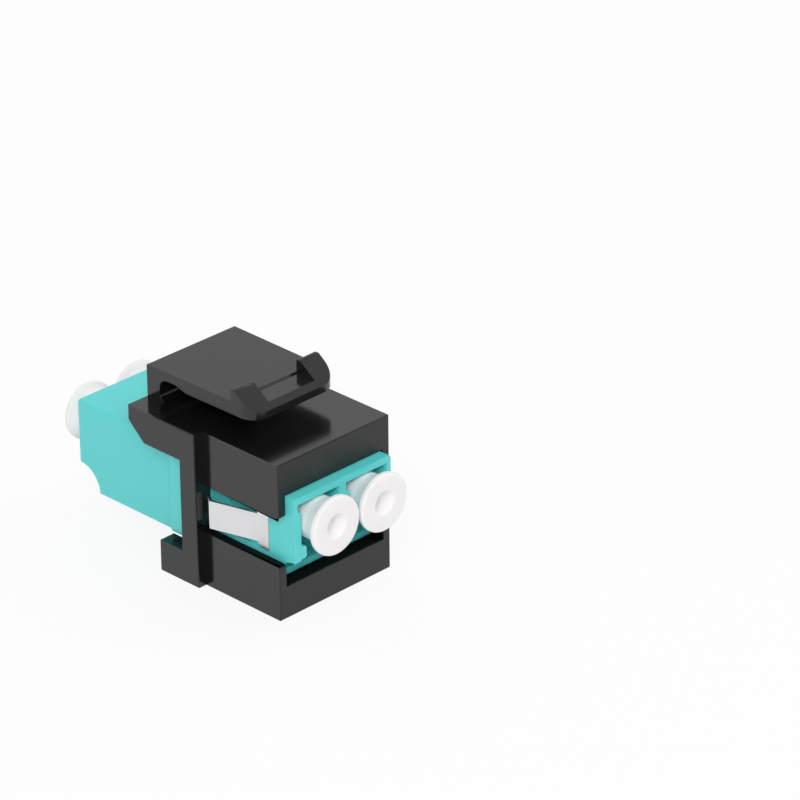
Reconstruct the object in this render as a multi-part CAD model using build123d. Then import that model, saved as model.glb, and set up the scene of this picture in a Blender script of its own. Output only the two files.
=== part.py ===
from build123d import *

import os

# Duplex fibre coupler that snaps into a keystone panel opening, in millimetres.
# X runs across the two ports, Y runs from the panel side to the back and Z is up.
# The origin lies under the middle of the coupler: Y is zero where two plugs meet.

# Port layout of the duplex adapter
port_pitch = 6.25
port_width = 4.66
port_height = 7.85
port_side_wall = 0.845
port_top_wall = 0.7
port_bottom_wall = 0.8
adapter_half_length = 14.82
adapter_edge_radius = 0.3
end_notch_radius = 2.62
web_thickness = 1.2
groove_reach = 0.38
groove_height = 0.95
groove_depth = 2.4
groove_radius = 0.35

# Latch keepers at the mouth of each port
keeper_depth = 1.3
keeper_reach = 0.65
keeper_lift = 2.85
keeper_height = 1.3
keeper_radius = 0.3

# Flange that seats behind the frame's rib
flange_reach = 0.9
flange_half_thickness = 1.475
flange_lift = 0.35
flange_radius = 0.6
flange_gap = 0.075

# Split sleeves and the holders that carry them
sleeve_bore = 1.25
sleeve_outside = 1.62
sleeve_length = 6.8
sleeve_slot = 0.25
sleeve_side_gap = 0.05
sleeve_end_gap = 0.05
holder_tube_diameter = 2.9
holder_lip_length = 1.15
holder_plate_thickness = 0.8
holder_plate_side_wall = 1.0
holder_plate_top_wall = 0.8
holder_plate_bottom_wall = 1.75
holder_fit_gap = 0.05

# Dust caps, round all the way
cap_side_gap = 0.155
cap_top_gap = 0.145
cap_head_gap = 0.28
cap_head_thickness = 0.7
cap_head_chamfer = 0.2
cap_stand_off = 2.38
cap_flare_length = 1.1
cap_flare_step = 0.3
cap_bore_gap = 0.1
cap_holder_overlap = 0.8
cap_bore_depth = 8.0
cap_dimple_diameter = 2.5
cap_dimple_taper = 0.9
cap_dimple_depth = 1.2

# Keystone frame
frame_side_gap = 0.085
frame_height_gap = 0.125
frame_side_wall = 0.815
frame_floor = 3.33
frame_roof = 3.32
block_length = 10.1
rib_thickness = 2.05
rib_reach = 1.05
skirt_height = 2.28
lower_wall_height = 2.41
window_corner_radius = 0.4

# Bar behind the rib, and the latch that stands on it
bar_depth = 7.05
bar_chamfer_along = 1.97
bar_chamfer_up = 1.81
latch_width = 11.3
latch_wall = 1.73
latch_rise = 3.35
latch_length = 14.34
latch_plate = 1.0
latch_tip_width = 10.9
latch_tip_thickness = 1.45
latch_thin_length = 1.87
latch_slope_length = 1.5
latch_corner_radius = 1.0
latch_foot_radius = 0.75
latch_plan_radius = 1.8
latch_recess = 0.15
lug_height = 1.25
lug_width = 2.45
lug_land = 0.5
ramp_slope = 0.717
ramp_land = 0.59

# Forked arms under the back of the adapter
arm_depth = 3.18
arm_plate = 1.5
arm_prong_width = 1.75
arm_rib_width = 0.6
arm_rib_inside = 4.5

# Spring clip round the front half
clip_sheet = 0.3
clip_proud = 0.04
clip_seat_gap = 0.03
clip_bend_radius = 0.4
clip_arm_lift = 2.745
clip_arm_depth = 1.45
clip_strap_depth = 5.15
wing_lift = 3.295
wing_height = 2.9
wing_length = 5.04
wing_spring = 1.42
wing_tip_length = 0.96
wing_tip_turn = 0.71
wing_rib_gap = 0.3
wing_root_length = 0.4
wing_corner_cut = 0.35

# Places worked out from the sizes above: heights first
adapter_bottom = frame_floor + frame_height_gap
port_floor = adapter_bottom + port_bottom_wall
port_ceiling = port_floor + port_height
adapter_top = port_ceiling + port_top_wall
opening_top = adapter_top + frame_height_gap
frame_height = opening_top + frame_roof
latch_top = frame_height + latch_rise
window_bottom = frame_floor + lower_wall_height
window_top = opening_top - skirt_height
plug_diameter = port_width - 2 * cap_side_gap
axis_height = port_ceiling - cap_top_gap - plug_diameter / 2
clip_roof = adapter_top + clip_proud
arm_bottom = adapter_bottom + clip_arm_lift
wing_bottom = adapter_bottom + wing_lift
wing_top = wing_bottom + wing_height

# Half widths, from the middle plane
port_x = port_pitch / 2
adapter_side = port_x + port_width / 2 + port_side_wall
opening_side = adapter_side + frame_side_gap
block_side = opening_side + frame_side_wall
rib_side = block_side + rib_reach
latch_side = latch_width / 2
latch_tip_side = latch_tip_width / 2
clip_side = adapter_side + clip_proud
wing_crest_side = clip_side + wing_spring
wing_tip_side = wing_crest_side - wing_tip_turn

# Distances from the middle towards the panel side
rib_back = flange_half_thickness + flange_gap
rib_front = rib_back + rib_thickness
block_front = rib_front + block_length
wing_tip = rib_front + wing_rib_gap
wing_crest = wing_tip + wing_tip_length
clip_bend = wing_crest + wing_length
clip_front = clip_bend + clip_arm_depth
clip_back = clip_front - clip_strap_depth
holder_reach = sleeve_length / 2 + sleeve_end_gap + holder_lip_length
web_face = holder_plate_thickness + web_thickness

# Distances from the middle towards the back
bar_back = bar_depth - rib_back
arm_back = arm_depth - rib_back
latch_tip = latch_length - bar_back
latch_floor = latch_top - latch_recess
ramp_foot = latch_tip - ramp_land
lug_front = ramp_foot - (lug_height + latch_recess) / ramp_slope
lug_back = lug_front - lug_land

# A length past everything, for cuts that run right through
far = 60.0

# Two places closer than this count as one when an edge is picked out
same_place = 0.01


def block(x0, x1, y0, y1, z0, z1):
    """A box between two corners."""
    size = (x1 - x0, y1 - y0, z1 - z0)
    centre = ((x0 + x1) / 2, (y0 + y1) / 2, (z0 + z1) / 2)
    return Pos(*centre) * Box(*size)


def across(points, half_width):
    """A side profile of (Y, Z) points, drawn out across X."""
    face = make_face(Polyline(*[(0, y, z) for y, z in points], close=True))
    return extrude(face, half_width, dir=(1, 0, 0), both=True)


def along_y(x, z, diameter, y0, y1, end_diameter=None):
    """A round bar or cone on a line along Y."""
    radius = diameter / 2
    end_radius = radius if end_diameter is None else end_diameter / 2
    middle = (y0 + y1) / 2
    length = y1 - y0
    if end_radius == radius:
        bar = Cylinder(radius, length)
    else:
        bar = Cone(radius, end_radius, length)
    return Pos(x, middle, z) * Rot(-90, 0, 0) * bar


def turned(shape):
    """The same moulding turned end for end about the upright axis."""
    return Rot(0, 0, 180) * shape


def near(edges, test):
    """The edges whose middle point passes a test."""
    return [edge for edge in edges if test(edge.center())]


# Keystone frame, one moulding with its latch


def frame_block():
    """The block that passes through the panel, with its rib."""
    body = block(-block_side, block_side, -block_front, -rib_back, 0, frame_height)
    rib = block(-rib_side, rib_side, -rib_front, -rib_back, 0, frame_height)
    return body + rib


def side_window():
    """The opening through both side walls that the clip's wings spring into."""
    window = block(-far, far, -far, -rib_front, window_bottom, window_top)
    front = block(-far, far, -far, -block_front, -far, far)
    flare = block(
        -far, far, -block_front, -block_front + window_corner_radius,
        window_bottom - window_corner_radius, window_top + window_corner_radius,
    )
    corners = []
    for z in (window_bottom - window_corner_radius, window_top + window_corner_radius):
        y = -block_front + window_corner_radius
        corners.append(Pos(0, y, z) * Rot(0, 90, 0) * Cylinder(window_corner_radius, 2 * far))
    return window + (flare - corners[0] - corners[1]) - front


def rear_bar():
    """The bar behind the rib, bevelled along its lower back edge."""
    profile = [
        (-rib_back, opening_top),
        (bar_back - bar_chamfer_along, opening_top),
        (bar_back, opening_top + bar_chamfer_up),
        (bar_back, frame_height),
        (-rib_back, frame_height),
    ]
    return across(profile, rib_side)


def latch_blade():
    """The springy plate, its wall at the back and the ramp at its tip."""
    wall_face = bar_back - latch_wall
    under_plate = latch_top - latch_plate
    under_tip = latch_top - latch_tip_thickness
    slope_end = wall_face - latch_thin_length
    profile = [
        (-latch_tip, under_tip),
        (slope_end - latch_slope_length, under_tip),
        (slope_end, under_plate),
        (wall_face, under_plate),
        (wall_face, frame_height),
        (bar_back, frame_height),
        (bar_back, latch_top),
        (-lug_back, latch_top),
        (-lug_back, latch_floor),
        (-ramp_foot, latch_floor),
        (-latch_tip, latch_floor - ramp_land * ramp_slope),
    ]
    blade = across(profile, latch_side)
    root = near(
        blade.edges().filter_by(Axis.X),
        lambda c: abs(c.Y - wall_face) < same_place and abs(c.Z - under_plate) < same_place,
    )
    return fillet(root, latch_corner_radius)


def latch_lugs():
    """The two wedge lugs that catch on the panel, each with a narrow land along its top."""
    lug_top = latch_top + lug_height
    profile = [
        (-lug_back, latch_floor), (-lug_back, lug_top), (-lug_front, lug_top), (-ramp_foot, latch_floor),
    ]
    wedge = across(profile, latch_side)
    middle = latch_tip_side - lug_width
    return wedge - block(-middle, middle, -far, far, 0, far)


def latch_plan():
    """The latch seen from above, a little narrower at its tip and rounded there."""
    outline = [
        (-latch_side, bar_back), (latch_side, bar_back), (latch_tip_side, -latch_tip), (-latch_tip_side, -latch_tip),
    ]
    plan = extrude(make_face(Polyline(*outline, close=True)), far)
    corners = near(plan.edges().filter_by(Axis.Z), lambda c: c.Y < 0)
    return fillet(corners, latch_plan_radius)


def latch():
    """Blade, lugs and foot within the latch's plan."""
    return (latch_blade() + latch_lugs() + latch_foot()) & latch_plan()


def latch_foot():
    """The fillet where the latch wall meets the top of the frame."""
    face = bar_back - latch_wall
    radius = latch_foot_radius
    strip = block(-latch_side, latch_side, face - radius, face, frame_height, frame_height + radius)
    hollow = Pos(0, face - radius, frame_height + radius) * Rot(0, 90, 0) * Cylinder(radius, 2 * far)
    return strip - hollow


def rear_arms():
    """The plate, side prongs and thin ribs below the back of the adapter."""
    arms = block(-rib_side, rib_side, -rib_back, arm_back, 0, arm_plate)
    uprights = ((rib_side - arm_prong_width, rib_side), (arm_rib_inside, arm_rib_inside + arm_rib_width))
    for side in (-1, 1):
        for inside, outside in uprights:
            x0, x1 = sorted((side * inside, side * outside))
            arms += block(x0, x1, -rib_back, arm_back, 0, frame_floor)
    return arms


def keystone_frame():
    """The whole black frame."""
    frame = frame_block() + rear_bar() + latch() + rear_arms()
    opening = block(-opening_side, opening_side, -far, -rib_back, frame_floor, opening_top)
    return frame - opening - side_window()


# Duplex adapter, two mouldings welded at the back of the flange


def adapter_shell(y0, y1):
    """A length of the adapter's outer body with softened long edges."""
    body = block(-adapter_side, adapter_side, y0, y1, adapter_bottom, adapter_top)
    return fillet(body.edges().filter_by(Axis.Y), adapter_edge_radius)


def corner_grooves(x):
    """The wider stretch across the top of a port's mouth."""
    reach = port_width / 2 + groove_reach
    back = groove_depth - adapter_half_length
    wide = block(x - reach, x + reach, -far, back, port_ceiling - groove_height, port_ceiling)
    lower = near(wide.edges().filter_by(Axis.Y), lambda c: c.Z < port_ceiling - groove_height / 2)
    return fillet(lower, groove_radius)


def port(x):
    """The room for one plug, from the mouth to the web, with its latch keepers."""
    half = port_width / 2
    mouth = -adapter_half_length
    room = block(x - half, x + half, -far, -web_face, port_floor, port_ceiling)
    room += corner_grooves(x)
    z0 = adapter_bottom + keeper_lift
    for side in (-1, 1):
        x0, x1 = sorted((x + side * half, x + side * (half - keeper_reach)))
        keeper = block(x0, x1, mouth, mouth + keeper_depth, z0, z0 + keeper_height)
        inner_x = x + side * (half - keeper_reach)
        corner = near(keeper.edges().filter_by(Axis.Y), lambda c: abs(c.X - inner_x) < same_place)
        room -= fillet(corner, keeper_radius)
    return room


def end_notch():
    """The quarter-round cut along the lower edge of the adapter's end."""
    centre = Pos(0, -adapter_half_length, adapter_bottom)
    return centre * Rot(0, 90, 0) * Cylinder(end_notch_radius, 2 * far)


def flange():
    """The collar that stops against the back of the rib."""
    side = adapter_side + flange_reach
    bottom = adapter_bottom + flange_lift
    collar = block(-side, side, -flange_half_thickness, flange_half_thickness, bottom, adapter_top)
    return fillet(collar.edges().filter_by(Axis.Z) + collar.edges().filter_by(Axis.Y), flange_radius)


def holder_pocket(gap):
    """The room for the holder plates between the two mouldings, less a gap all round."""
    half = adapter_side - holder_plate_side_wall - gap
    z0 = adapter_bottom + holder_plate_bottom_wall + gap
    z1 = adapter_top - holder_plate_top_wall - gap
    return block(-half, half, -holder_plate_thickness, flange_half_thickness, z0, z1)


def tube_holes(y0, y1):
    """The holes in the web that the holder's tubes pass through."""
    diameter = holder_tube_diameter + 2 * holder_fit_gap
    left = along_y(-port_x, axis_height, diameter, y0, y1)
    return left + along_y(port_x, axis_height, diameter, y0, y1)


def clip_recess():
    """The band round the front half that the clip lies in."""
    floor_side = clip_side - clip_sheet - clip_seat_gap
    floor_top = clip_roof - clip_sheet - clip_seat_gap
    front = -clip_front - clip_seat_gap
    back = -clip_back + clip_seat_gap
    bottom = arm_bottom - clip_seat_gap
    band = block(-far, far, front, back, bottom, far)
    core = block(-floor_side, floor_side, -far, far, 0, floor_top)
    upper = near(core.edges().filter_by(Axis.Y), lambda c: c.Z > bottom)
    return band - fillet(upper, clip_bend_radius)


def adapter_front_half():
    """The moulding on the panel side, which carries the flange."""
    half = adapter_shell(-adapter_half_length, flange_half_thickness) + flange()
    for x in (-port_x, port_x):
        half -= port(x)
    half -= holder_pocket(0)
    half -= tube_holes(-web_face, 0)
    return half - end_notch() - clip_recess()


def adapter_rear_half():
    """The moulding at the back, with the spigot that clamps the holder plates."""
    half = adapter_shell(-adapter_half_length, -flange_half_thickness)
    spigot = holder_pocket(holder_fit_gap)
    spigot &= block(-far, far, holder_plate_thickness, far, 0, far)
    half += turned(spigot)
    for x in (-port_x, port_x):
        half -= port(x)
    half -= tube_holes(-web_face, 0)
    return turned(half - end_notch())


# Sleeve holders and split sleeves


def sleeve_holder():
    """A plate with two tubes, facing the panel side, each with a lip as wide as the sleeve's bore."""
    tube_end = -holder_reach
    holder = holder_pocket(holder_fit_gap) & block(-far, far, -far, 0, 0, far)
    for x in (-port_x, port_x):
        holder += along_y(x, axis_height, holder_tube_diameter, tube_end, 0)
    chamber = sleeve_outside + 2 * sleeve_side_gap
    for x in (-port_x, port_x):
        holder -= along_y(x, axis_height, chamber, tube_end + holder_lip_length, 0)
        holder -= along_y(x, axis_height, sleeve_bore, tube_end, 0)
    return holder


def split_sleeve(x):
    """A slotted ceramic tube that lines two ferrules up."""
    half = sleeve_length / 2
    tube = along_y(x, axis_height, sleeve_outside, -half, half)
    tube -= along_y(x, axis_height, sleeve_bore, -half, half)
    slot = block(x - sleeve_slot / 2, x + sleeve_slot / 2, -half, half, axis_height, far)
    return tube - slot


# Spring clip, one bent strip


def clip_strap():
    """The band over the adapter, with an arm down each side."""
    outside = block(-clip_side, clip_side, -clip_front, -clip_back, arm_bottom, clip_roof)
    upper = near(outside.edges().filter_by(Axis.Y), lambda c: c.Z > axis_height)
    outside = fillet(upper, clip_bend_radius + clip_sheet)
    inner_side = clip_side - clip_sheet
    inside = block(-inner_side, inner_side, -far, far, 0, clip_roof - clip_sheet)
    upper = near(inside.edges().filter_by(Axis.Y), lambda c: c.Z > axis_height)
    return outside - fillet(upper, clip_bend_radius)


def arm_cut(side):
    """What is cut from an arm behind the bend, with the cut corner below the bend."""
    x0, x1 = sorted((side * clip_side / 2, side * far))
    behind = block(x0, x1, -clip_bend, far, 0, wing_top + clip_sheet)
    corner = across(
        [
            (-clip_bend - wing_corner_cut, arm_bottom),
            (-clip_bend, arm_bottom),
            (-clip_bend, wing_bottom),
        ],
        far,
    )
    return behind + (corner & block(x0, x1, -far, far, 0, far))


def wing(side):
    """The tongue that springs out and bears on the rib, with its tip turned in."""
    path = Polyline(
        (clip_side, -clip_bend - wing_root_length),
        (clip_side, -clip_bend),
        (wing_crest_side, -wing_crest),
        (wing_tip_side, -wing_tip),
    )
    band = offset(path, clip_sheet, kind=Kind.INTERSECTION, side=Side.LEFT, closed=True)
    tongue = Pos(0, 0, wing_bottom) * extrude(make_face(band), wing_top - wing_bottom)
    return tongue if side > 0 else mirror(tongue, about=Plane.YZ)


def spring_clip():
    """The whole clip."""
    strip = clip_strap()
    for side in (-1, 1):
        strip = strip - arm_cut(side) + wing(side)
    return strip


# Dust caps


def cap_section():
    """Half of a cap's section, as (radius, Y) points from the dimple round to the bore."""
    face = -adapter_half_length - cap_stand_off
    head_back = face + cap_head_thickness
    plug_end = -holder_reach + cap_holder_overlap
    head = (port_pitch - cap_head_gap) / 2
    dimple = cap_dimple_diameter / 2
    bore = holder_tube_diameter / 2 + cap_bore_gap
    return [
        (0, face + cap_dimple_depth),
        (dimple - cap_dimple_taper, face + cap_dimple_depth),
        (dimple, face),
        (head, face),
        (head, head_back),
        (head - cap_flare_step, head_back),
        (plug_diameter / 2, head_back + cap_flare_length),
        (plug_diameter / 2, plug_end),
        (bore, plug_end),
        (bore, plug_end - cap_bore_depth),
        (0, plug_end - cap_bore_depth),
    ]


def dust_cap(x):
    """A cap for a port on the panel side: dimpled head, flare, round plug and bore."""
    section = make_face(Polyline(*cap_section(), close=True))
    cap = revolve(section, Axis.Y)
    widest = max(edge.radius for edge in cap.edges().filter_by(GeomType.CIRCLE))
    rim = [edge for edge in cap.edges().filter_by(GeomType.CIRCLE) if edge.radius > widest - same_place]
    return Pos(x, 0, axis_height) * chamfer(rim, cap_head_chamfer)


# Every piece under its own name


def pieces():
    """All the pieces of the coupler, by name."""
    holder = sleeve_holder()
    left_cap = dust_cap(-port_x)
    right_cap = dust_cap(port_x)
    return {
        "keystone_frame": keystone_frame(),
        "adapter_front_half": adapter_front_half(),
        "adapter_rear_half": adapter_rear_half(),
        "front_sleeve_holder": holder,
        "rear_sleeve_holder": turned(holder),
        "left_split_sleeve": split_sleeve(-port_x),
        "right_split_sleeve": split_sleeve(port_x),
        "spring_clip": spring_clip(),
        "front_left_dust_cap": left_cap,
        "front_right_dust_cap": right_cap,
        "rear_left_dust_cap": turned(right_cap),
        "rear_right_dust_cap": turned(left_cap),
    }


os.makedirs("parts", exist_ok=True)
for name, shape in pieces().items():
    export_step(shape, f"parts/{name}.step")
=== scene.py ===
"""Looks of a duplex fibre keystone coupler: black snap-in frame, aqua ports, spring clip and dust caps."""

import logging
import math
from dataclasses import dataclass, field
from enum import Enum

import bmesh
import bpy
from mathutils import Matrix, Vector


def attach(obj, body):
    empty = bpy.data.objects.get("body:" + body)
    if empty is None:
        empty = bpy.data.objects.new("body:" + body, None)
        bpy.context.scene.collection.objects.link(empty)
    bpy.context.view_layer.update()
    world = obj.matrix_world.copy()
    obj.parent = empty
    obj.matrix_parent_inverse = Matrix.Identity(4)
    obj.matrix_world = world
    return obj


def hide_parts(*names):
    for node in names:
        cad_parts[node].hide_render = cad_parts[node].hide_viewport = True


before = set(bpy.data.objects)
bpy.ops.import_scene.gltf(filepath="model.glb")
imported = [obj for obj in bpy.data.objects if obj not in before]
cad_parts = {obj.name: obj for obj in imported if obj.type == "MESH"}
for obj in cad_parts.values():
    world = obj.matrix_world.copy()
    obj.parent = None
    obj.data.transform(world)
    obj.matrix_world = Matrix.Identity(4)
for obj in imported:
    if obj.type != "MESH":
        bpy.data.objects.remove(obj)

LOG = logging.getLogger("coupler")
MM = 0.001

# Where the ports' middle lines run, in millimetres: to each side of the middle and above the underside
PORT_ACROSS = 3.125
PORT_UP = 9.785

# Further than any two points of the coupler are apart, in metres
FAR = 1.0
# A squared length that counts as none, in square metres
NO_LENGTH = 1e-18

# The numbered sockets of a mix node
MIX_FACTOR = 0
MIX_NUMBERS_IN = (2, 3)
MIX_NUMBER_OUT = 0
MIX_COLOURS_IN = (6, 7)
MIX_COLOUR_OUT = 2

# The specular level at which the index alone sets how much a surface mirrors
PLAIN_SPECULAR = 0.5

Colour = tuple[float, float, float]
Triple = tuple[float, float, float]
Socket = bpy.types.NodeSocket
Number = float | Socket


class Slot(Enum):
    """Material slots of the record."""

    BLACK = "black_plastic"
    AQUA = "aqua_plastic"
    STEEL = "spring_steel"
    WHITE = "white_plastic"
    CERAMIC = "white_ceramic"


class End(Enum):
    """The two ends of the coupler, by the sign of Y."""

    FRONT = -1
    REAR = 1


class Side(Enum):
    """The two sides of the coupler, by the sign of X."""

    LEFT = -1
    RIGHT = 1


# Node trees for the finishes


class Nodes:
    """A node tree with short ways to add nodes and give them their values."""

    def __init__(self, tree: bpy.types.NodeTree) -> None:
        """Keeps the tree that the nodes go into.

        Args:
            tree: The tree.
        """
        self.tree = tree

    def add(self, kind: str, **values: object) -> bpy.types.Node:
        """Adds a node.

        Args:
            kind: Blender's type name of the node.
            **values: Properties of the node, set by name.

        Returns:
            The new node.
        """
        node = self.tree.nodes.new(kind)
        for name, value in values.items():
            setattr(node, name, value)
        return node

    def feed(self, target: Socket, value: Number) -> None:
        """Gives an input its value, by a link or directly.

        Args:
            target: The input.
            value: A socket to link from, or the value itself.
        """
        if isinstance(value, Socket):
            self.tree.links.new(value, target)
        else:
            target.default_value = value

    def sum(self, first: Number, second: Number, operation: str = "ADD") -> Socket:
        """Adds two numbers, or does another sum with them.

        Args:
            first: The first number.
            second: The second number.
            operation: What is done with them, as the math node names it.

        Returns:
            The result's socket.
        """
        node = self.add("ShaderNodeMath", operation=operation)
        self.feed(node.inputs[0], first)
        self.feed(node.inputs[1], second)
        return node.outputs["Value"]


class Tree(Nodes):
    """A shader node tree, with the patterns and blends that the finishes are made of."""

    # Between these two lie most of a noise's values
    NOISE_LOW = 0.3
    NOISE_HIGH = 0.7

    def __init__(self, owner: bpy.types.Material | bpy.types.World) -> None:
        """Empties the owner's tree.

        Args:
            owner: The material or world whose nodes are made here.
        """
        owner.use_nodes = True
        super().__init__(owner.node_tree)
        self.tree.nodes.clear()

    def join(self, source: Socket, target: Socket) -> None:
        """Links an output to an input.

        Args:
            source: The output.
            target: The input that reads it.
        """
        self.tree.links.new(source, target)

    def noise(self, scale: float, detail: float, stretch: Triple = (1.0, 1.0, 1.0)) -> Socket:
        """Adds a noise on Object coordinates.

        Args:
            scale: Features to each millimetre.
            detail: Octaves of finer noise.
            stretch: Scale along X, Y and Z.

        Returns:
            The noise value's socket.
        """
        place = self.add("ShaderNodeTexCoord")
        mapping = self.add("ShaderNodeMapping")
        mapping.inputs["Scale"].default_value = stretch
        pattern = self.add("ShaderNodeTexNoise")
        pattern.inputs["Scale"].default_value = scale / MM
        pattern.inputs["Detail"].default_value = detail
        self.join(place.outputs["Object"], mapping.inputs["Vector"])
        self.join(mapping.outputs["Vector"], pattern.inputs["Vector"])
        return pattern.outputs["Fac"]

    def ramp(self, source: Socket, low: float, high: float) -> Socket:
        """Maps a noise value onto a range.

        Args:
            source: The value to map.
            low: Result where the source is NOISE_LOW or less.
            high: Result where the source is NOISE_HIGH or more.

        Returns:
            The mapped value's socket.
        """
        span = self.add("ShaderNodeMapRange")
        span.inputs["From Min"].default_value = self.NOISE_LOW
        span.inputs["From Max"].default_value = self.NOISE_HIGH
        span.inputs["To Min"].default_value = low
        span.inputs["To Max"].default_value = high
        self.join(source, span.inputs["Value"])
        return span.outputs["Result"]

    def tint(self, source: Socket, low: Colour, high: Colour) -> Socket:
        """Blends two colours by a value from 0 to 1.

        Args:
            source: The blend value.
            low: Colour at 0.
            high: Colour at 1.

        Returns:
            The colour's socket.
        """
        mix = self.add("ShaderNodeMix", data_type="RGBA")
        for number, colour in zip(MIX_COLOURS_IN, (low, high)):
            mix.inputs[number].default_value = (*colour, 1.0)
        self.join(source, mix.inputs[MIX_FACTOR])
        return mix.outputs[MIX_COLOUR_OUT]

    def bump(self, source: Socket, height: float) -> Socket:
        """Turns a height pattern into a normal.

        Args:
            source: Height pattern from 0 to 1.
            height: Height in millimetres.

        Returns:
            The normal's socket.
        """
        node = self.add("ShaderNodeBump")
        node.inputs["Distance"].default_value = height * MM
        self.join(source, node.inputs["Height"])
        return node.outputs["Normal"]

    def within(self, low: Triple, high: Triple) -> Socket:
        """A factor that is 1 inside a box on Object coordinates and 0 outside it.

        Args:
            low: The box's lowest corner in millimetres.
            high: Its highest corner in millimetres.

        Returns:
            The factor's socket.
        """
        place = self.add("ShaderNodeTexCoord")
        split = self.add("ShaderNodeSeparateXYZ")
        self.join(place.outputs["Object"], split.inputs["Vector"])
        factor = None
        for axis, (start, stop) in enumerate(zip(low, high)):
            side = self.add("ShaderNodeMath", operation="COMPARE")
            side.inputs[1].default_value = (start + stop) / 2 * MM
            side.inputs[2].default_value = (stop - start) / 2 * MM
            self.join(split.outputs[axis], side.inputs[0])
            inside = side.outputs["Value"]
            factor = inside if factor is None else self.sum(factor, inside, "MULTIPLY")
        return factor

    def blend(self, factor: Socket, base: Number, other: float) -> Socket:
        """Blends one number into another by a factor.

        Args:
            factor: 0 keeps the base, 1 gives the other.
            base: The number outside the zone.
            other: The number inside it.

        Returns:
            The blended number's socket.
        """
        mix = self.add("ShaderNodeMix", data_type="FLOAT")
        outside, inside = (mix.inputs[number] for number in MIX_NUMBERS_IN)
        self.join(factor, mix.inputs[MIX_FACTOR])
        self.feed(outside, base)
        self.feed(inside, other)
        return mix.outputs[MIX_NUMBER_OUT]

    def shell(self) -> bpy.types.Node:
        """Adds a principled shader joined to the output.

        Returns:
            The shader.
        """
        shader = self.add("ShaderNodeBsdfPrincipled")
        output = self.add("ShaderNodeOutputMaterial")
        self.join(shader.outputs["BSDF"], output.inputs["Surface"])
        return shader


@dataclass(frozen=True)
class Zone:
    """A box in which a moulding's surface has a gloss of its own, and perhaps a weaker reflection that
    paints shade or a stronger one that paints sheen.
    """

    low: Triple
    high: Triple
    roughness: float
    # Below the plain level this paints shade; above it, it paints sheen
    specular: float = PLAIN_SPECULAR


@dataclass(frozen=True)
class Moulded:
    """A moulded plastic: two close colours, a gloss that varies, a fine skin and perhaps a glow."""

    name: str
    colour: Colour
    colour_worn: Colour
    gloss_low: float
    gloss_high: float
    skin_scale: float
    skin_height: float
    patch_scale: float = 0.25
    patch_detail: float = 3.0
    skin_detail: float = 2.0
    index: float = 1.5
    glow: float = 0.0
    glow_depth: float = 0.6
    glow_spread: Colour = (1.0, 1.0, 1.0)
    zones: tuple[Zone, ...] = ()

    def build(self) -> bpy.types.Material:
        """Makes the material.

        Returns:
            The material, with all its nodes.
        """
        material = bpy.data.materials.new(self.name)
        tree = Tree(material)
        shader = tree.shell()
        patches = tree.noise(self.patch_scale, self.patch_detail)
        skin = tree.noise(self.skin_scale, self.skin_detail)
        colour = tree.tint(tree.ramp(patches, 0.0, 1.0), self.colour, self.colour_worn)
        tree.join(colour, shader.inputs["Base Color"])
        roughness = tree.ramp(patches, self.gloss_low, self.gloss_high)
        specular = PLAIN_SPECULAR
        # Zones whose specular level differs from the plain one paint shade or sheen through how strongly
        # the surface reflects
        for zone in self.zones:
            factor = tree.within(zone.low, zone.high)
            roughness = tree.blend(factor, roughness, zone.roughness)
            specular = tree.blend(factor, specular, zone.specular)
        tree.join(roughness, shader.inputs["Roughness"])
        if self.zones:
            tree.join(specular, shader.inputs["Specular IOR Level"])
        tree.join(tree.bump(skin, self.skin_height), shader.inputs["Normal"])
        shader.inputs["IOR"].default_value = self.index
        if self.glow:
            shader.inputs["Subsurface Weight"].default_value = self.glow
            shader.inputs["Subsurface Radius"].default_value = self.glow_spread
            shader.inputs["Subsurface Scale"].default_value = self.glow_depth * MM
        return material


@dataclass(frozen=True)
class RolledSteel:
    """Bright spring steel in two close tones, whose gloss varies in fine lines along the strip."""

    name: str
    colour: Colour
    colour_dull: Colour
    gloss_low: float
    gloss_high: float
    line_scale: float
    line_detail: float = 1.0
    line_stretch: Triple = (0.08, 0.08, 1.0)
    patch_scale: float = 0.3
    patch_detail: float = 2.0

    def build(self) -> bpy.types.Material:
        """Makes the material.

        Returns:
            The material, with all its nodes.
        """
        material = bpy.data.materials.new(self.name)
        tree = Tree(material)
        shader = tree.shell()
        lines = tree.noise(self.line_scale, self.line_detail, self.line_stretch)
        patches = tree.noise(self.patch_scale, self.patch_detail)
        colour = tree.tint(tree.ramp(patches, 0.0, 1.0), self.colour, self.colour_dull)
        tree.join(colour, shader.inputs["Base Color"])
        tree.join(tree.ramp(lines, self.gloss_low, self.gloss_high), shader.inputs["Roughness"])
        shader.inputs["Metallic"].default_value = 1.0
        return material


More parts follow.
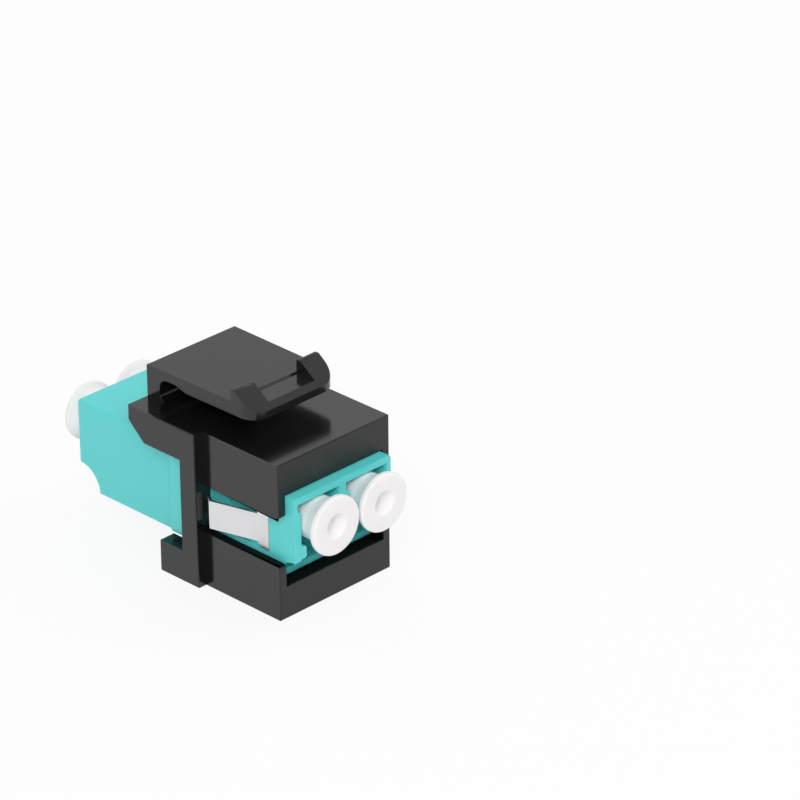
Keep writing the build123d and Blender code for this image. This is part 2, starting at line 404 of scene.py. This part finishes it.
class Finishes:
    """Every finish of the coupler, made once."""

    def __init__(self) -> None:
        """Makes the materials."""
        front_face = Zone((-20.0, -14.0, -1.0), (20.0, -13.55, 22.0), 0.5)
        # Painted shade: inside the adapter's channel the black barely reflects, darkening it where the
        # adapter above shades it
        channel_painted_shade = Zone((-6.45, -13.55, 3.2), (6.45, -1.4, 13.4), 0.6, 0.03)
        # Painted shade: the window ledges barely reflect, darkening them where the clips and skirts above
        # shade them
        ledge_painted_shade = Zone((-7.3, -13.65, 5.6), (7.3, -3.65, 5.85), 0.6, 0.05)
        # A slightly sharper gloss on the block's top, plus a stronger reflection that paints extra sheen
        # on it
        block_top_painted_sheen = Zone((-8.3, -13.55, 16.1), (8.3, 5.6, 16.3), 0.15, 0.6)
        self.black = Moulded(
            name="black_plastic", colour=(0.0058, 0.0058, 0.006), colour_worn=(0.007, 0.007, 0.0072),
            gloss_low=0.13, gloss_high=0.18, skin_scale=6.0, skin_height=0.0006, index=1.54,
            zones=(front_face, channel_painted_shade, ledge_painted_shade, block_top_painted_sheen),
        ).build()
        self.aqua = Moulded(
            name="aqua_plastic", colour=(0.11, 0.69, 0.68), colour_worn=(0.115, 0.70, 0.69),
            gloss_low=0.36, gloss_high=0.42, skin_scale=8.0, skin_height=0.001, glow=0.15,
        ).build()
        self.white = Moulded(
            name="white_plastic", colour=(0.92, 0.895, 0.895), colour_worn=(0.94, 0.915, 0.915),
            gloss_low=0.38, gloss_high=0.46, skin_scale=7.0, skin_height=0.0015, glow=0.3,
        ).build()
        self.ceramic = Moulded(
            name="white_ceramic", colour=(0.84, 0.83, 0.8), colour_worn=(0.86, 0.85, 0.82),
            gloss_low=0.08, gloss_high=0.14, skin_scale=9.0, skin_height=0.0005, index=1.9,
        ).build()
        self.steel = RolledSteel(
            name="spring_steel", colour=(0.78, 0.78, 0.79), colour_dull=(0.72, 0.72, 0.74),
            gloss_low=0.27, gloss_high=0.31, line_scale=6.0,
        ).build()

    def of(self, slot: Slot) -> bpy.types.Material:
        """Looks a finish up.

        Args:
            slot: The record's material slot.

        Returns:
            The material for that slot.
        """
        return {
            Slot.BLACK: self.black,
            Slot.AQUA: self.aqua,
            Slot.STEEL: self.steel,
            Slot.WHITE: self.white,
            Slot.CERAMIC: self.ceramic,
        }[slot]


# Pieces made from the frame's own solids


@dataclass(frozen=True)
class Ease:
    """Moves the corners inside a box, to turn a small step into a slope."""

    low: Triple
    high: Triple
    shift: Triple

    def apply(self, work: bmesh.types.BMesh) -> None:
        """Moves the corners.

        Args:
            work: The mesh they belong to.
        """
        for vert in work.verts:
            if all(low * MM < value < high * MM for low, value, high in zip(self.low, vert.co, self.high)):
                vert.co += Vector(self.shift) * MM


# Turns the small step across the latch, between its two lugs, into a slope
LATCH_STEP = Ease(low=(-3.1, -5.9, 19.4), high=(3.1, -5.7, 19.5), shift=(0.0, -0.3, 0.0))


@dataclass(frozen=True)
class SoftEdges:
    """A moulding or strip as modelled, with its sharp outer edges rounded as far as there is room.

    Attributes:
        node: The solid that it follows and replaces.
        body: The body that it rides on.
        slot: Its material slot.
        radius: The rounding's width where there is room, in millimetres.
        eases: Small steps that become slopes.
        segments: Facets of each rounding.
        angle: Edges that turn by more than this many degrees are sharp.
        share: The part of the room beside an edge that its rounding may take.
        least: Edges whose rounding would be narrower than this, in millimetres, stay sharp.
        merge_gap: Corners closer than this, in millimetres, become one.
        flat_angle: Faces that meet within this many degrees become one.
        aslant: A side edge counts only where it leads away by more than this share of its length.
        probes: Points along an edge where the gap to another is measured.
    """

    node: str
    body: str
    slot: Slot
    radius: float
    eases: tuple[Ease, ...] = ()
    segments: int = 3
    angle: float = 30.0
    share: float = 0.45
    least: float = 0.02
    merge_gap: float = 0.002
    flat_angle: float = 0.6
    aslant: float = 0.3
    probes: int = 5

    def build(self, finishes: Finishes) -> None:
        """Copies the solid, merges its faces and rounds its edges.

        Args:
            finishes: The finishes to dress it from.
        """
        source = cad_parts[self.node]
        mesh = self.merged(source.data)
        piece = bpy.data.objects.new(f"{self.node}_skin", mesh)
        bpy.context.scene.collection.objects.link(piece)
        mesh.materials.clear()
        mesh.materials.append(finishes.of(self.slot))
        bevel = piece.modifiers.new("edges", "BEVEL")
        bevel.width = self.radius * MM
        bevel.segments = self.segments
        bevel.limit_method = "WEIGHT"
        bevel.harden_normals = True
        bevel.use_clamp_overlap = False
        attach(piece, self.body)
        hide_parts(self.node)
        LOG.info("%s: edges rounded to %.2f mm", piece.name, self.radius)

    def merged(self, source: bpy.types.Mesh) -> bpy.types.Mesh:
        """Merges the loose triangles of a solid into whole faces and weighs the edges to be rounded.

        Args:
            source: The solid's mesh.

        Returns:
            A new mesh, shaded smooth below the edge angle, with a bevel weight on each edge.
        """
        work = bmesh.new()
        work.from_mesh(source)
        bmesh.ops.remove_doubles(work, verts=work.verts, dist=self.merge_gap * MM)
        bmesh.ops.dissolve_limit(
            work, angle_limit=math.radians(self.flat_angle), verts=work.verts, edges=work.edges,
        )
        for ease in self.eases:
            ease.apply(work)
        weights = work.edges.layers.float.new("bevel_weight_edge")
        for face in work.faces:
            face.smooth = True
        for edge in work.edges:
            edge.smooth = edge.is_manifold and edge.calc_face_angle(0.0) < math.radians(self.angle)
        for edge in work.edges:
            if self.stands_out(edge):
                width = min(self.radius * MM, self.share * self.room(edge))
                if width > self.least * MM:
                    edge[weights] = width / (self.radius * MM)
        mesh = bpy.data.meshes.new(f"{self.node}_skin")
        work.to_mesh(mesh)
        work.free()
        return mesh

    def stands_out(self, edge: bmesh.types.BMEdge) -> bool:
        """Tells whether an edge is convex and sharp and ends away from every inside corner.

        Args:
            edge: The edge to be tested.

        Returns:
            True if the edge can be rounded.
        """
        if edge.smooth or not edge.is_manifold or not edge.is_convex:
            return False
        meeting = [other for vert in edge.verts for other in vert.link_edges if not other.smooth]
        return all(other.is_convex for other in meeting)

    def room(self, edge: bmesh.types.BMEdge) -> float:
        """Measures how far the two faces of an edge reach away from it before they narrow.

        Args:
            edge: The edge to be rounded.

        Returns:
            The narrowest reach, in metres.
        """
        start, end = (vert.co for vert in edge.verts)
        way = end - start
        length = way.length
        way = way / length
        narrowest = FAR
        for face in edge.link_faces:
            for other in face.edges:
                if other is edge:
                    continue
                shared = set(other.verts) & set(edge.verts)
                if shared:
                    corner = shared.pop()
                    reach = other.other_vert(corner).co - corner.co
                    across = (reach - way * reach.dot(way)).length
                    if across > self.aslant * reach.length:
                        narrowest = min(narrowest, across)
                    continue
                narrowest = min(narrowest, self.apart(start, way, length, other))
        return narrowest

    def apart(self, start: Vector, way: Vector, length: float, other: bmesh.types.BMEdge) -> float:
        """Measures the gap between an edge and another one beside it.

        Args:
            start: The first edge's start.
            way: The first edge's direction.
            length: The first edge's length.
            other: The edge beside it.

        Returns:
            The smallest gap found at points along the first edge.
        """
        low, high = (vert.co for vert in other.verts)
        span = high - low
        nearest = FAR
        for step in range(self.probes):
            point = start + way * (length * step / (self.probes - 1))
            share = (point - low).dot(span) / max(span.length_squared, NO_LENGTH)
            share = max(0.0, min(1.0, share))
            nearest = min(nearest, (low + span * share - point).length)
        return nearest


# Forms made with Geometry Nodes


@dataclass(frozen=True)
class Corner:
    """A corner of a profile: its distance from the axis, its place along it and its rounding."""

    out: Number
    along: Number
    rounding: Number = 0.0


class Form(Nodes):
    """A Geometry Nodes tree with named sizes, used once for each piece that has its shape."""

    # Points closer than this, in millimetres, become one
    SEAM_GAP = 0.0005

    def __init__(self, name: str, material: bpy.types.Material) -> None:
        """Starts an empty tree.

        Args:
            name: The tree's name.
            material: The finish of its pieces.
        """
        super().__init__(bpy.data.node_groups.new(name, "GeometryNodeTree"))
        self.name = name
        self.material = material
        self.tree.interface.new_socket("Geometry", in_out="OUTPUT", socket_type="NodeSocketGeometry")
        self.sizes = self.add("NodeGroupInput")
        self.keys: dict[str, str] = {}

    def size(self, name: str, kind: str = "NodeSocketFloat") -> Socket:
        """Adds a named size.

        Args:
            name: The size's name.
            kind: Blender's type name of the socket.

        Returns:
            The socket that gives the size.
        """
        item = self.tree.interface.new_socket(name, in_out="INPUT", socket_type=kind)
        self.keys[name] = item.identifier
        return self.sizes.outputs[name]

    def place(self, x: Number, y: Number, z: Number = 0.0) -> Socket:
        """Joins three numbers into a vector.

        Args:
            x: Along X.
            y: Along Y.
            z: Along Z.

        Returns:
            The vector's socket.
        """
        node = self.add("ShaderNodeCombineXYZ")
        for target, value in zip(node.inputs, (x, y, z)):
            self.feed(target, value)
        return node.outputs["Vector"]

    def chosen(self, kind: str, values: list[Number]) -> Socket:
        """Picks one value for each point, by the point's number.

        Args:
            kind: Data type of the values, as the index switch names it.
            values: The values in the order of the points.

        Returns:
            The picked value's socket.
        """
        switch = self.add("GeometryNodeIndexSwitch", data_type=kind)
        while len(switch.index_switch_items) < len(values):
            switch.index_switch_items.new()
        self.feed(switch.inputs["Index"], self.add("GeometryNodeInputIndex").outputs["Index"])
        for target, value in zip(switch.inputs[1:], values):
            self.feed(target, value)
        return switch.outputs[0]

    def profile(self, corners: list[Corner], hub: Number, steps: int) -> Socket:
        """Draws a line through corners and rounds each.

        Args:
            corners: The corners in order.
            hub: Radius of the circle that the profile is turned on.
            steps: Facets of each rounding.

        Returns:
            The profile curve's socket.
        """
        line = self.add("GeometryNodeCurvePrimitiveLine")
        points = self.add("GeometryNodeResampleCurve")
        points.inputs["Count"].default_value = len(corners)
        self.feed(points.inputs["Curve"], line.outputs["Curve"])
        placed = self.add("GeometryNodeSetPosition")
        self.feed(placed.inputs["Geometry"], points.outputs["Curve"])
        places = [self.place(self.sum(corner.out, hub, "SUBTRACT"), corner.along) for corner in corners]
        self.feed(placed.inputs["Position"], self.chosen("VECTOR", places))
        rounded = self.add("GeometryNodeFilletCurve", mode="POLY")
        rounded.inputs["Count"].default_value = steps
        rounded.inputs["Limit Radius"].default_value = True
        self.feed(rounded.inputs["Curve"], placed.outputs["Geometry"])
        self.feed(rounded.inputs["Radius"], self.chosen("FLOAT", [corner.rounding for corner in corners]))
        return rounded.outputs["Curve"]

    def turned(self, path: Socket, profile: Socket, caps: bool = False) -> Socket:
        """Carries a profile round a path and merges the seams and poles.

        Args:
            path: The circle or arc.
            profile: The profile curve.
            caps: Whether the ends are closed.

        Returns:
            The mesh's socket.
        """
        swept = self.add("GeometryNodeCurveToMesh")
        swept.inputs["Fill Caps"].default_value = caps
        self.feed(swept.inputs["Curve"], path)
        self.feed(swept.inputs["Profile Curve"], profile)
        merged = self.add("GeometryNodeMergeByDistance")
        merged.inputs["Distance"].default_value = self.SEAM_GAP * MM
        self.feed(merged.inputs["Geometry"], swept.outputs["Mesh"])
        return merged.outputs["Geometry"]

    def upright(self, mesh: Socket, turn: Number, across: Number, height: Number) -> Socket:
        """Lays a turned form along Y, turns it to its end and puts it in place.

        Args:
            mesh: The form, turned about Z.
            turn: Half a turn for the rear end, or zero.
            across: Place along X.
            height: Place along Z.

        Returns:
            The placed mesh's socket.
        """
        laid = self.add("GeometryNodeTransform")
        laid.inputs["Rotation"].default_value = (math.pi / 2, 0.0, 0.0)
        self.feed(laid.inputs["Geometry"], mesh)
        moved = self.add("GeometryNodeTransform")
        self.feed(moved.inputs["Geometry"], laid.outputs["Geometry"])
        self.feed(moved.inputs["Translation"], self.place(across, 0.0, height))
        self.feed(moved.inputs["Rotation"], self.place(0.0, 0.0, turn))
        return moved.outputs["Geometry"]

    def finish(self, mesh: Socket, angle: float = 30.0) -> None:
        """Ends the tree: smooth shading with sharp edges, no instances, one finish.

        Args:
            mesh: The finished mesh's socket.
            angle: Edges that turn more than this many degrees stay sharp.
        """
        bend = self.add("GeometryNodeInputMeshEdgeAngle")
        sharp = self.sum(bend.outputs["Unsigned Angle"], math.radians(angle), "GREATER_THAN")
        smooth = self.add("GeometryNodeSetShadeSmooth", domain="FACE")
        self.feed(smooth.inputs["Geometry"], mesh)
        creased = self.add("GeometryNodeSetShadeSmooth", domain="EDGE")
        creased.inputs["Shade Smooth"].default_value = False
        self.feed(creased.inputs["Geometry"], smooth.outputs["Geometry"])
        self.feed(creased.inputs["Selection"], sharp)
        whole = self.add("GeometryNodeRealizeInstances")
        self.feed(whole.inputs["Geometry"], creased.outputs["Geometry"])
        dressed = self.add("GeometryNodeSetMaterial")
        dressed.inputs["Material"].default_value = self.material
        self.feed(dressed.inputs["Geometry"], whole.outputs["Geometry"])
        out = self.add("NodeGroupOutput")
        self.feed(out.inputs[0], dressed.outputs["Geometry"])

    def piece(self, name: str, values: dict[str, float | int]) -> bpy.types.Object:
        """Runs the tree once with its sizes set and keeps the plain mesh.

        Args:
            name: The piece's name.
            values: A value for each named size.

        Returns:
            The piece, with its place in its mesh.
        """
        piece = bpy.data.objects.new(name, bpy.data.meshes.new(name))
        bpy.context.scene.collection.objects.link(piece)
        modifier = piece.modifiers.new("form", "NODES")
        modifier.node_group = self.tree
        for size, key in self.keys.items():
            modifier[key] = values[size]
        evaluated = piece.evaluated_get(bpy.context.evaluated_depsgraph_get())
        mesh = bpy.data.meshes.new_from_object(evaluated)
        piece.modifiers.remove(modifier)
        piece.data = mesh
        mesh.name = name
        LOG.info("%s: %d faces from the %s form", name, len(mesh.polygons), self.name)
        return piece


@dataclass(frozen=True)
class DustCaps:
    """The four dust caps: a soft round head with a bowl in it, a smooth flare and a hollow round plug."""

    place_across: float = PORT_ACROSS
    place_up: float = PORT_UP
    head_face: float = -17.2
    head_radius: float = 2.985
    head_depth: float = 0.55
    rim_rounding: float = 0.24
    neck_step: float = 0.36
    neck_rounding: float = 0.5
    neck_drop: float = 0.32
    flare_length: float = 1.05
    flare_rounding: float = 1.6
    plug_radius: float = 2.175
    plug_end: float = -3.8
    end_rounding: float = 0.15
    bore_radius: float = 1.55
    bore_depth: float = 8.0
    bowl_radius: float = 1.25
    bowl_floor: float = 0.55
    bowl_depth: float = 1.2
    bowl_rounding: float = 0.6
    lip_rounding: float = 0.15
    rounding_steps: int = 8
    segments: int = 96

    def form(self, material: bpy.types.Material) -> Form:
        """Builds the tree that all four caps share.

        Args:
            material: The caps' finish.

        Returns:
            The form, with its sizes named.
        """
        form = Form("dust cap", material)
        head = form.size("Head radius")
        depth = form.size("Head depth")
        rim = form.size("Rim rounding")
        neck = form.size("Neck radius")
        drop = form.size("Neck drop")
        blend = form.size("Neck rounding")
        flare = form.size("Flare length")
        sweep = form.size("Flare rounding")
        plug = form.size("Plug radius")
        length = form.size("Plug length")
        bore = form.size("Bore radius")
        bore_end = form.size("Bore end")
        bowl = form.size("Bowl radius")
        floor = form.size("Bowl floor radius")
        sunk = form.size("Bowl depth")
        hollow = form.size("Bowl rounding")
        lip = form.size("Lip rounding")
        face = form.size("Face place")
        end = form.size("End rounding")
        back = form.sum(face, depth)
        waist = form.sum(back, drop)
        tip = form.sum(face, length)
        dip = form.sum(face, sunk)
        corners = [
            Corner(0.0, dip),
            Corner(floor, dip, hollow),
            Corner(bowl, face, lip),
            Corner(head, face, rim),
            Corner(head, back, rim),
            Corner(neck, waist, blend),
            Corner(plug, form.sum(waist, flare), sweep),
            Corner(plug, tip, end),
            Corner(bore, tip, end),
            Corner(bore, bore_end),
            Corner(0.0, bore_end),
        ]
        circle = form.add("GeometryNodeCurvePrimitiveCircle")
        form.feed(circle.inputs["Resolution"], form.size("Segments", "NodeSocketInt"))
        form.feed(circle.inputs["Radius"], plug)
        section = form.profile(corners, plug, self.rounding_steps)
        lathe = form.turned(circle.outputs["Curve"], section)
        placed = form.upright(lathe, form.size("Turn"), form.size("Across"), form.size("Height"))
        form.finish(placed)
        return form

    def build(self, finishes: Finishes) -> None:
        """Makes the four caps from one form.

        Args:
            finishes: The finishes to dress them from.
        """
        form = self.form(finishes.of(Slot.WHITE))
        for end in End:
            for side in Side:
                name = f"{end.name.lower()}_{side.name.lower()}"
                piece = form.piece(f"{name}_cap", {
                    "Head radius": self.head_radius * MM,
                    "Head depth": self.head_depth * MM,
                    "Rim rounding": self.rim_rounding * MM,
                    "Neck radius": (self.head_radius - self.neck_step) * MM,
                    "Neck drop": self.neck_drop * MM,
                    "Neck rounding": self.neck_rounding * MM,
                    "Flare length": self.flare_length * MM,
                    "Flare rounding": self.flare_rounding * MM,
                    "Plug radius": self.plug_radius * MM,
                    "Plug length": (self.plug_end - self.head_face) * MM,
                    "Bore radius": self.bore_radius * MM,
                    "Bore end": (self.plug_end - self.bore_depth) * MM,
                    "Bowl radius": self.bowl_radius * MM,
                    "Bowl floor radius": self.bowl_floor * MM,
                    "Bowl depth": self.bowl_depth * MM,
                    "Bowl rounding": self.bowl_rounding * MM,
                    "Lip rounding": self.lip_rounding * MM,
                    "Face place": self.head_face * MM,
                    "End rounding": self.end_rounding * MM,
                    "Segments": self.segments,
                    "Turn": math.pi if end is End.REAR else 0.0,
                    "Across": side.value * self.place_across * MM,
                    "Height": self.place_up * MM,
                })
                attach(piece, f"{name}_cap")
                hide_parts(f"{name}_dust_cap")


@dataclass(frozen=True)
class SplitSleeves:
    """The two split sleeves, each a slotted tube with softly rounded edges."""

    place_across: float = PORT_ACROSS
    place_up: float = PORT_UP
    bore_radius: float = 0.625
    outside_radius: float = 0.81
    half_length: float = 3.4
    edge_rounding: float = 0.05
    slot_width: float = 0.25
    rounding_steps: int = 4
    segments: int = 72

    def form(self, material: bpy.types.Material) -> Form:
        """Builds the tree that both sleeves share.

        Args:
            material: The sleeves' finish.

        Returns:
            The form, with its sizes named.
        """
        form = Form("split sleeve", material)
        bore = form.size("Bore radius")
        outside = form.size("Outside radius")
        half = form.size("Half length")
        edge = form.size("Edge rounding")
        slot = form.size("Slot angle")
        back = form.sum(half, -1.0, "MULTIPLY")
        corners = [
            Corner(bore, 0.0),
            Corner(bore, back, edge),
            Corner(outside, back, edge),
            Corner(outside, half, edge),
            Corner(bore, half, edge),
        ]
        closed = form.add("GeometryNodeSetSplineCyclic")
        closed.inputs["Cyclic"].default_value = True
        form.feed(closed.inputs["Geometry"], form.profile(corners, bore, self.rounding_steps))
        arc = form.add("GeometryNodeCurveArc", mode="RADIUS")
        form.feed(arc.inputs["Resolution"], form.size("Segments", "NodeSocketInt"))
        form.feed(arc.inputs["Radius"], bore)
        form.feed(arc.inputs["Start Angle"], form.sum(form.sum(slot, 0.5, "MULTIPLY"), math.pi / 2))
        form.feed(arc.inputs["Sweep Angle"], form.sum(2 * math.pi, slot, "SUBTRACT"))
        tube = form.turned(arc.outputs["Curve"], closed.outputs["Geometry"], caps=True)
        form.finish(form.upright(tube, 0.0, form.size("Across"), form.size("Height")))
        return form

    def build(self, finishes: Finishes) -> None:
        """Makes the two sleeves from one form.

        Args:
            finishes: The finishes to dress them from.
        """
        form = self.form(finishes.of(Slot.CERAMIC))
        middle_radius = (self.bore_radius + self.outside_radius) / 2
        for side in Side:
            name = f"{side.name.lower()}_split_sleeve"
            piece = form.piece(f"{name}_tube", {
                "Bore radius": self.bore_radius * MM,
                "Outside radius": self.outside_radius * MM,
                "Half length": self.half_length * MM,
                "Edge rounding": self.edge_rounding * MM,
                "Slot angle": 2 * math.asin(self.slot_width / 2 / middle_radius),
                "Segments": self.segments,
                "Across": side.value * self.place_across * MM,
                "Height": self.place_up * MM,
            })
            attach(piece, "coupler")
            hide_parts(name)


# Stage, lights and camera


@dataclass(frozen=True)
class Lamp:
    """A square soft lamp aimed at the coupler: its place and width in millimetres, its power in watts."""

    name: str
    place: Triple
    width: float
    power: float

    def build(self) -> None:
        """Makes the lamp."""
        light = bpy.data.lights.new(self.name, "AREA")
        light.size = self.width * MM
        light.energy = self.power
        lamp = bpy.data.objects.new(self.name, light)
        lamp.visible_glossy = False
        bpy.context.scene.collection.objects.link(lamp)
        lamp.location = Vector(self.place) * MM
        lamp.rotation_euler = (-Vector(self.place)).to_track_quat("-Z", "Y").to_euler()


@dataclass(frozen=True)
class Studio:
    """A pale floor, a plain white surround and soft lamps."""

    floor_reach: float = 600.0
    floor_colour: Colour = (0.93, 0.93, 0.93)
    floor_seen: float = 0.88
    floor_mirrored: float = 0.78
    surround: float = 0.52
    seen: float = 1.0
    lamps: tuple[Lamp, ...] = (
        Lamp("key", (-330.0, -290.0, 340.0), 220.0, 1.4),
        Lamp("fill", (260.0, -120.0, 300.0), 260.0, 0.45),
        Lamp("back", (60.0, 320.0, 300.0), 260.0, 0.35),
    )

    def build(self) -> None:
        """Makes the floor, the surround and the lamps."""
        self.floor()
        self.world()
        for lamp in self.lamps:
            lamp.build()
        LOG.info("studio: floor %.0f mm each way, %d lamps", self.floor_reach, len(self.lamps))

    def floor(self) -> None:
        """Makes the floor, pale under the lamps and white to the camera and to reflections."""
        mesh = bpy.data.meshes.new("floor")
        half = self.floor_reach * MM
        corners = [(-half, -half, 0.0), (half, -half, 0.0), (half, half, 0.0), (-half, half, 0.0)]
        mesh.from_pydata(corners, [], [(0, 1, 2, 3)])
        plane = bpy.data.objects.new("floor", mesh)
        bpy.context.scene.collection.objects.link(plane)
        material = bpy.data.materials.new("floor")
        tree = Tree(material)
        diffuse = tree.add("ShaderNodeBsdfDiffuse")
        diffuse.inputs["Color"].default_value = (*self.floor_colour, 1.0)
        white = tree.add("ShaderNodeEmission")
        white.inputs["Strength"].default_value = self.seen
        blend = tree.add("ShaderNodeMixShader")
        output = tree.add("ShaderNodeOutputMaterial")
        tree.join(self.seen_directly(tree, self.floor_seen, self.floor_mirrored), blend.inputs["Fac"])
        tree.join(diffuse.outputs["BSDF"], blend.inputs[1])
        tree.join(white.outputs["Emission"], blend.inputs[2])
        tree.join(blend.outputs["Shader"], output.inputs["Surface"])
        mesh.materials.append(material)

    def seen_directly(self, tree: Tree, camera: float, mirrored: float) -> Socket:
        """A factor for the rays that show the studio itself; it is 0 on all others.

        Args:
            tree: The tree to add nodes to.
            camera: The factor on camera rays.
            mirrored: The factor on glossy and transmission rays.

        Returns:
            The factor's socket.
        """
        path = tree.add("ShaderNodeLightPath")
        shares = {"Is Camera Ray": camera, "Is Glossy Ray": mirrored, "Is Transmission Ray": mirrored}
        factor = None
        for ray, share in shares.items():
            shown = tree.sum(path.outputs[ray], share, "MULTIPLY")
            factor = shown if factor is None else tree.sum(factor, shown, "MAXIMUM")
        return factor

    def world(self) -> None:
        """Makes the surround: white where it is seen, plain and dimmer as light."""
        world = bpy.data.worlds.new("surround")
        bpy.context.scene.world = world
        tree = Tree(world)
        light = tree.add("ShaderNodeBackground")
        light.inputs["Strength"].default_value = self.surround
        seen = tree.add("ShaderNodeBackground")
        seen.inputs["Strength"].default_value = self.seen
        blend = tree.add("ShaderNodeMixShader")
        output = tree.add("ShaderNodeOutputWorld")
        tree.join(self.seen_directly(tree, 1.0, 1.0), blend.inputs["Fac"])
        tree.join(light.outputs["Background"], blend.inputs[1])
        tree.join(seen.outputs["Background"], blend.inputs[2])
        tree.join(blend.outputs["Shader"], output.inputs["Surface"])


@dataclass(frozen=True)
class Viewpoint:
    """The camera at the photograph's angle, with the coupler low and to the left in the frame."""

    azimuth: float = -45.228
    elevation: float = 26.872
    roll: float = -0.487
    distance: float = 422.44
    lens: float = 201.31
    pivot: Triple = (0.0, -3.767, 8.94)
    aside: float = -13.146
    above: float = -7.151
    clip_start: float = 10.0

    def build(self) -> None:
        """Makes the camera and sets it."""
        turn = math.radians(self.azimuth)
        tilt = math.radians(self.elevation)
        roll = math.radians(self.roll)
        back = Vector((math.sin(turn) * math.cos(tilt), -math.cos(turn) * math.cos(tilt), math.sin(tilt)))
        level = Vector((math.cos(turn), math.sin(turn), 0.0))
        upright = back.cross(level)
        right = math.cos(roll) * level + math.sin(roll) * upright
        up = math.cos(roll) * upright - math.sin(roll) * level
        place = Vector(self.pivot) + back * self.distance - right * self.aside - up * self.above
        data = bpy.data.cameras.new("camera")
        data.lens = self.lens
        data.clip_start = self.clip_start * MM
        camera = bpy.data.objects.new("camera", data)
        bpy.context.scene.collection.objects.link(camera)
        axes = Matrix((right, up, back)).transposed().to_4x4()
        camera.matrix_world = Matrix.Translation(place * MM) @ axes
        bpy.context.scene.camera = camera
        LOG.info("camera: %.1f degrees round, %.1f degrees up", self.azimuth, self.elevation)


# The coupler


@dataclass
class Coupler:
    """All the visible pieces of the coupler."""

    finishes: Finishes
    shells: list[SoftEdges] = field(default_factory=lambda: [
        SoftEdges("keystone_frame", "coupler", Slot.BLACK, radius=0.15, eases=(LATCH_STEP,)),
        SoftEdges("adapter_front_half", "coupler", Slot.AQUA, radius=0.12),
        SoftEdges("adapter_rear_half", "coupler", Slot.AQUA, radius=0.12),
        SoftEdges("spring_clip", "coupler", Slot.STEEL, radius=0.04, segments=2),
        SoftEdges("front_sleeve_holder", "coupler", Slot.WHITE, radius=0.06),
        SoftEdges("rear_sleeve_holder", "coupler", Slot.WHITE, radius=0.06),
    ])
    caps: DustCaps = field(default_factory=DustCaps)
    sleeves: SplitSleeves = field(default_factory=SplitSleeves)

    def build(self) -> None:
        """Builds every piece."""
        for shell in self.shells:
            shell.build(self.finishes)
        self.caps.build(self.finishes)
        self.sleeves.build(self.finishes)


def corners(box: object) -> list[list[float]]:
    """Turns a box of two corners into plain lists.

    Args:
        box: Lowest and highest corner, in metres.

    Returns:
        The two corners as lists of numbers.
    """
    return [[float(value) for value in corner] for corner in box]


def main() -> None:
    """Builds the coupler, the studio and the camera."""
    logging.basicConfig(level=logging.INFO, format="%(name)s %(message)s")
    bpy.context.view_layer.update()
    bpy.context.scene.view_settings.view_transform = "Standard"
    Coupler(Finishes()).build()
    Studio().build()
    Viewpoint().build()


if __name__ == "__main__":
    main()
